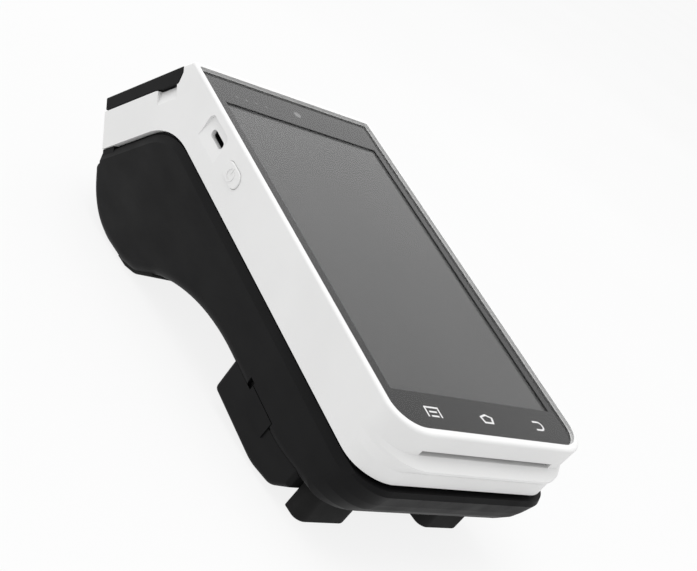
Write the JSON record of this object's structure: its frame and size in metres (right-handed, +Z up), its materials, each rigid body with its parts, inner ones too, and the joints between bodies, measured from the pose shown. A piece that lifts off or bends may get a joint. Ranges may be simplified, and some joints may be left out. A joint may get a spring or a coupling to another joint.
{
  "type": "card payment terminal",
  "caption": "Hand-held card payment terminal with a tilted touch screen, a front card slot, a hinged receipt-paper lid and a battery under a press-off cover.",
  "frame": {"origin": "centre of the bounding box at floor level, as the terminal stands on its feet", "axes": "+X to the right of someone reading the screen, +Y away from them towards the printer end, +Z up"},
  "size_m": [0.0813, 0.1989, 0.0716],
  "materials": {
    "white_casing": "satin moulded white",
    "black_casing": "fine textured black",
    "black_rubber": "moulded rubber",
    "cover_glass": "hardened glass",
    "mask_print": "printed ink",
    "icon_print": "light grey ink",
    "display": "dark liquid crystal panel",
    "grey_plastic": "moulded",
    "ivory_plastic": "moulded acetal",
    "steel": "bright",
    "dark_steel": "blackened",
    "aluminium": "pressed",
    "brass": "plated",
    "circuit_board": "solder mask",
    "foam": "closed cell foam",
    "flex_film": "polyimide film",
    "battery_wrap": "shrink film",
    "lens": "camera lens",
    "ceramic": "glazed ceramic",
    "platen_rubber": "ground rubber",
    "paper": "thermal paper roll",
    "card": "paper tube"
  },
  "bodies": {
    "terminal": {"front_casing": "white_casing", "rear_casing": "black_casing", "rear_foot_pad": "black_rubber", "front_feet": "black_rubber", "casing_screws": "dark_steel", "battery_pack": "battery_wrap", "battery_contacts": "brass", "cover_glass": "cover_glass", "screen_mask": "mask_print", "key_icons": "icon_print", "contactless_lights": "icon_print", "front_camera": "lens", "display_gasket": "foam", "display_panel": "display", "mid_frame": "aluminium", "display_flex": "flex_film", "main_board": "circuit_board", "shield_cans": "steel", "coin_cell": "steel", "nfc_antenna": "flex_film", "usb_socket": "grey_plastic", "power_switch": "grey_plastic", "card_reader_frame": "grey_plastic", "card_contacts": "brass", "speaker": "grey_plastic", "printer_chassis": "steel", "head_pivot_rod": "steel", "printer_motor": "steel", "paper_bay": "grey_plastic", "tear_bar": "steel"},
    "lid": {"paper_lid": "black_casing", "lid_liner": "grey_plastic", "hinge_pins": "steel", "platen_bushes": "ivory_plastic"},
    "platen": {"platen_shaft": "steel", "platen_rubber": "platen_rubber", "platen_gear": "ivory_plastic"},
    "idler_1": {"idler_gear_1": "ivory_plastic"},
    "idler_2": {"idler_gear_2": "ivory_plastic"},
    "pinion": {"motor_shaft": "steel", "motor_pinion": "brass"},
    "roll": {"paper_roll": "paper", "roll_core": "card"},
    "print_head": {"thermal_head": "ceramic", "head_heatsink": "aluminium", "head_springs": "steel"},
    "power_key": {"power_button": "white_casing"},
    "battery_hatch": {"battery_cover": "black_casing"}
  },
  "joints": [
    {"name": "lid_hinge", "type": "hinge", "parent": "terminal", "child": "lid", "pos_m": [0, 0.0966, 0.03443], "axis": [-1, 0, 0], "range_deg": [0, 90]},
    {"name": "platen_spin", "type": "hinge", "parent": "lid", "child": "platen", "pos_m": [0, 0.06581, 0.05805], "axis": [1, 0, 0], "continuous": true},
    {"name": "idler_1_spin", "type": "hinge", "parent": "terminal", "child": "idler_1", "pos_m": [0, 0.05718, 0.04892], "axis": [1, 0, 0], "continuous": true},
    {"name": "idler_2_spin", "type": "hinge", "parent": "terminal", "child": "idler_2", "pos_m": [0, 0.04374, 0.04012], "axis": [1, 0, 0], "continuous": true},
    {"name": "pinion_spin", "type": "hinge", "parent": "terminal", "child": "pinion", "pos_m": [0, 0.03286, 0.04208], "axis": [1, 0, 0], "continuous": true},
    {"name": "roll_spin", "type": "hinge", "parent": "terminal", "child": "roll", "pos_m": [0, 0.05923, 0.02778], "axis": [1, 0, 0], "continuous": true},
    {"name": "head_pivot", "type": "hinge", "parent": "terminal", "child": "print_head", "pos_m": [0, 0.05289, 0.05443], "axis": [1, 0, 0], "range_deg": [0, 2], "stiffness_Nm_per_rad": 0.8, "springref_deg": -5.73},
    {"name": "power_press", "type": "slide", "parent": "terminal", "child": "power_key", "axis": [1, 0, 0], "range_m": [0, 0.0005], "stiffness_N_per_m": 800, "springref_m": -0.001},
    {"name": "battery_cover_pull", "type": "slide", "parent": "terminal", "child": "battery_hatch", "axis": [0, 0.1461, -0.9893], "range_m": [0, 0.03]}
  ],
  "couplings": [
    {"joint": "idler_1_spin", "follows": "platen_spin", "ratio": -0.5625},
    {"joint": "idler_2_spin", "follows": "platen_spin", "ratio": 0.5625},
    {"joint": "pinion_spin", "follows": "platen_spin", "ratio": -1.5}
  ]
}
